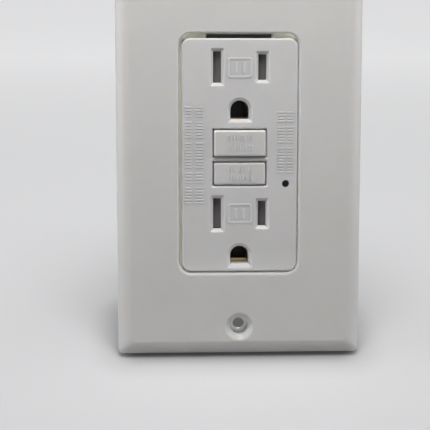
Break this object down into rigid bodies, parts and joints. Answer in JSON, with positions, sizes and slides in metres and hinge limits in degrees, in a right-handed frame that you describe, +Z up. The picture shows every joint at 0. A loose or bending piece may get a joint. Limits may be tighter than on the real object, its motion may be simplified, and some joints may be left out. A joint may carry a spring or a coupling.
{
  "type": "ground fault circuit interrupter outlet",
  "caption": "Duplex wall receptacle with reset and test buttons, shuttered blade slots, an indicator lens and a bevelled wall plate.",
  "frame": {"origin": "middle of the device in the wall plane, which is the back face of the mounting strap", "axes": "+Z up, face towards -Y, +X to the right seen from the front"},
  "size_m": [0.0698, 0.0329, 0.1144],
  "materials": {
    "white_plate": "satin",
    "white_cover": "satin",
    "white_button": "satin",
    "plated_steel": "zinc plated",
    "spring_steel": "bright drawn",
    "charcoal_plastic": "moulded",
    "shutter_plastic": "moulded",
    "carrier_plastic": "moulded",
    "brass": "rolled",
    "nickel_steel": "nickel plated",
    "silver_tip": "coined",
    "green_screw": "green plated",
    "board_laminate": "solder resist",
    "smoked_lens": "smoked, moulded",
    "lamp_resin": "diffused",
    "core_coating": "coated",
    "copper_winding": "enamelled copper",
    "varistor_coat": "dipped",
    "black_resin": "moulded",
    "resistor_body": "dipped"
  },
  "bodies": {
    "outlet": {"wall_plate": "white_plate", "front_cover": "white_cover", "mounting_strap": "plated_steel", "middle_separator": "charcoal_plastic", "rear_housing": "charcoal_plastic", "assembly_screws": "plated_steel", "test_leaf": "spring_steel", "test_post": "brass", "shutter_spring_upper": "spring_steel", "shutter_spring_lower": "spring_steel", "reset_spring": "spring_steel", "ground_contact_upper": "brass", "ground_contact_lower": "brass", "ground_rivets": "brass", "hot_contact_strip": "brass", "neutral_contact_strip": "brass", "hot_fixed_tip": "silver_tip", "neutral_fixed_tip": "silver_tip", "line_hot_terminal": "brass", "line_neutral_terminal": "brass", "circuit_board": "board_laminate", "light_pipe": "smoked_lens", "indicator_lamp": "lamp_resin", "sensing_core": "core_coating", "neutral_core": "core_coating", "core_holder": "charcoal_plastic", "solenoid_bobbin": "carrier_plastic", "solenoid_coil": "copper_winding", "solenoid_yoke": "plated_steel", "plunger_spring": "spring_steel", "break_spring": "spring_steel", "varistor": "varistor_coat", "capacitor": "black_resin", "controller_chip": "black_resin", "thyristor": "black_resin", "resistors": "resistor_body"},
    "reset": {"reset_button": "white_button", "reset_pin": "plated_steel"},
    "test": {"test_button": "white_button"},
    "upper_shutter": {"shutter_upper": "shutter_plastic"},
    "lower_shutter": {"shutter_lower": "shutter_plastic"},
    "carrier": {"latch_block": "carrier_plastic"},
    "latch": {"latch_plate": "plated_steel"},
    "trip_plunger": {"plunger": "plated_steel"},
    "hot_arm": {"hot_contact_arm": "brass", "hot_arm_tip": "silver_tip"},
    "neutral_arm": {"neutral_contact_arm": "brass", "neutral_arm_tip": "silver_tip"},
    "ground_binding": {"ground_screw": "green_screw"},
    "load_hot_binding": {"load_hot_screw": "brass", "load_hot_clamp": "nickel_steel"},
    "load_neutral_binding": {"load_neutral_screw": "nickel_steel", "load_neutral_clamp": "nickel_steel"},
    "line_hot_binding": {"line_hot_screw": "brass", "line_hot_clamp": "nickel_steel"},
    "line_neutral_binding": {"line_neutral_screw": "nickel_steel", "line_neutral_clamp": "nickel_steel"}
  },
  "joints": [
    {"name": "reset_press", "type": "slide", "parent": "outlet", "child": "reset", "axis": [0, 1, 0], "range_m": [0, 0.0024], "stiffness_N_per_m": 400, "springref_m": -0.001, "deforming": ["reset_spring"]},
    {"name": "test_press", "type": "slide", "parent": "outlet", "child": "test", "axis": [0, 1, 0], "range_m": [0, 0.0015], "stiffness_N_per_m": 300, "springref_m": -0.001, "deforming": ["test_leaf"]},
    {"name": "upper_shutter_slide", "type": "slide", "parent": "outlet", "child": "upper_shutter", "axis": [1, 0, 0], "range_m": [0, 0.0032], "stiffness_N_per_m": 120, "springref_m": -0.001, "deforming": ["shutter_spring_upper"]},
    {"name": "lower_shutter_slide", "type": "slide", "parent": "outlet", "child": "lower_shutter", "axis": [1, 0, 0], "range_m": [0, 0.0032], "stiffness_N_per_m": 120, "springref_m": -0.001, "deforming": ["shutter_spring_lower"]},
    {"name": "carrier_lift", "type": "slide", "parent": "outlet", "child": "carrier", "axis": [0, -1, 0], "range_m": [0, 0.0011], "stiffness_N_per_m": 150, "springref_m": -0.0015, "deforming": ["break_spring"]},
    {"name": "plunger_stroke", "type": "slide", "parent": "outlet", "child": "trip_plunger", "axis": [0, 0, -1], "range_m": [0, 0.0016], "stiffness_N_per_m": 300, "springref_m": -0.001, "deforming": ["plunger_spring"]},
    {"name": "latch_slide", "type": "slide", "parent": "carrier", "child": "latch", "axis": [0, 0, -1], "range_m": [0, 0.0016]},
    {"name": "hot_arm_pivot", "type": "hinge", "parent": "outlet", "child": "hot_arm", "pos_m": [0.0105, 0.0173, -0.0114], "axis": [1, 0, 0], "range_deg": [0, 3.9]},
    {"name": "neutral_arm_pivot", "type": "hinge", "parent": "outlet", "child": "neutral_arm", "pos_m": [-0.0105, 0.0173, -0.0114], "axis": [1, 0, 0], "range_deg": [0, 3.9]},
    {"name": "load_hot_screw_travel", "type": "slide", "parent": "outlet", "child": "load_hot_binding", "axis": [1, 0, 0], "range_m": [0, 0.0025]},
    {"name": "load_neutral_screw_travel", "type": "slide", "parent": "outlet", "child": "load_neutral_binding", "axis": [-1, 0, 0], "range_m": [0, 0.0025]},
    {"name": "line_hot_screw_travel", "type": "slide", "parent": "outlet", "child": "line_hot_binding", "axis": [1, 0, 0], "range_m": [0, 0.0025]},
    {"name": "line_neutral_screw_travel", "type": "slide", "parent": "outlet", "child": "line_neutral_binding", "axis": [-1, 0, 0], "range_m": [0, 0.0025]},
    {"name": "ground_screw_travel", "type": "slide", "parent": "outlet", "child": "ground_binding", "axis": [-1, 0, 0], "range_m": [0, 0.0025]}
  ],
  "couplings": [
    {"joint": "hot_arm_pivot", "follows": "carrier_lift", "rad_per_m": 54.348},
    {"joint": "neutral_arm_pivot", "follows": "carrier_lift", "rad_per_m": 54.348},
    {"joint": "latch_slide", "follows": "plunger_stroke", "ratio": 1}
  ]
}
